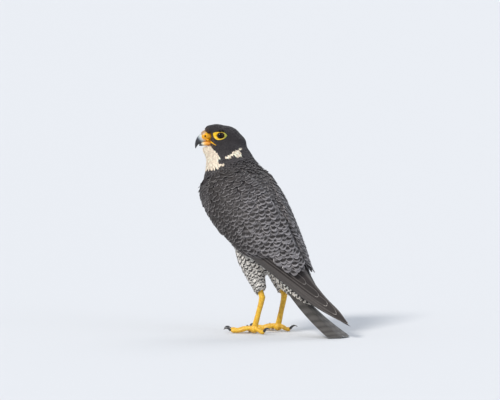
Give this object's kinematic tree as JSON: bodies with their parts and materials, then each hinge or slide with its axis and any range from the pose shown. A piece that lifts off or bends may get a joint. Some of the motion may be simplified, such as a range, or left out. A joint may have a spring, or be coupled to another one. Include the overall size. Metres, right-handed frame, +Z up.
{
  "type": "peregrine falcon",
  "caption": "Life-size still model of a standing peregrine falcon with closed wings, an upright body and its head turned to its left, for display.",
  "frame": {"origin": "on the floor, below the middle of the bird's bounding box", "axes": "+Z up, the bird's breast faces -Y and its left side is +X"},
  "size_m": [0.1416, 0.2974, 0.337],
  "materials": {
    "dark_feathers": "matt near-black feathers with a soft sheen",
    "back_feathers": "slate-grey feathers with paler edges and dark centres",
    "flight_feathers": "firm brown-grey vanes with fine barbs and pale edges",
    "pale_feathers": "soft cream-white feathers with dark bars",
    "bare_skin": "yellow scaly skin, slightly waxy",
    "horn": "smooth dark horn, blue-grey at the root of the bill",
    "eye": "wet, very dark brown eye"
  },
  "bodies": {
    "root": {"head": "dark_feathers", "neck": "dark_feathers", "torso": "back_feathers", "wing_left": "flight_feathers", "wing_right": "flight_feathers", "tail": "flight_feathers", "thigh_left": "pale_feathers", "thigh_right": "pale_feathers", "shank_left": "bare_skin", "shank_right": "bare_skin", "foot_left": "bare_skin", "foot_right": "bare_skin", "cere": "bare_skin", "beak_upper": "horn", "beak_lower": "horn", "eye_left": "eye", "eye_right": "eye", "claw_hallux_left": "horn", "claw_inner_left": "horn", "claw_middle_left": "horn", "claw_outer_left": "horn", "claw_hallux_right": "horn", "claw_inner_right": "horn", "claw_middle_right": "horn", "claw_outer_right": "horn"}
  },
  "joints": []
}
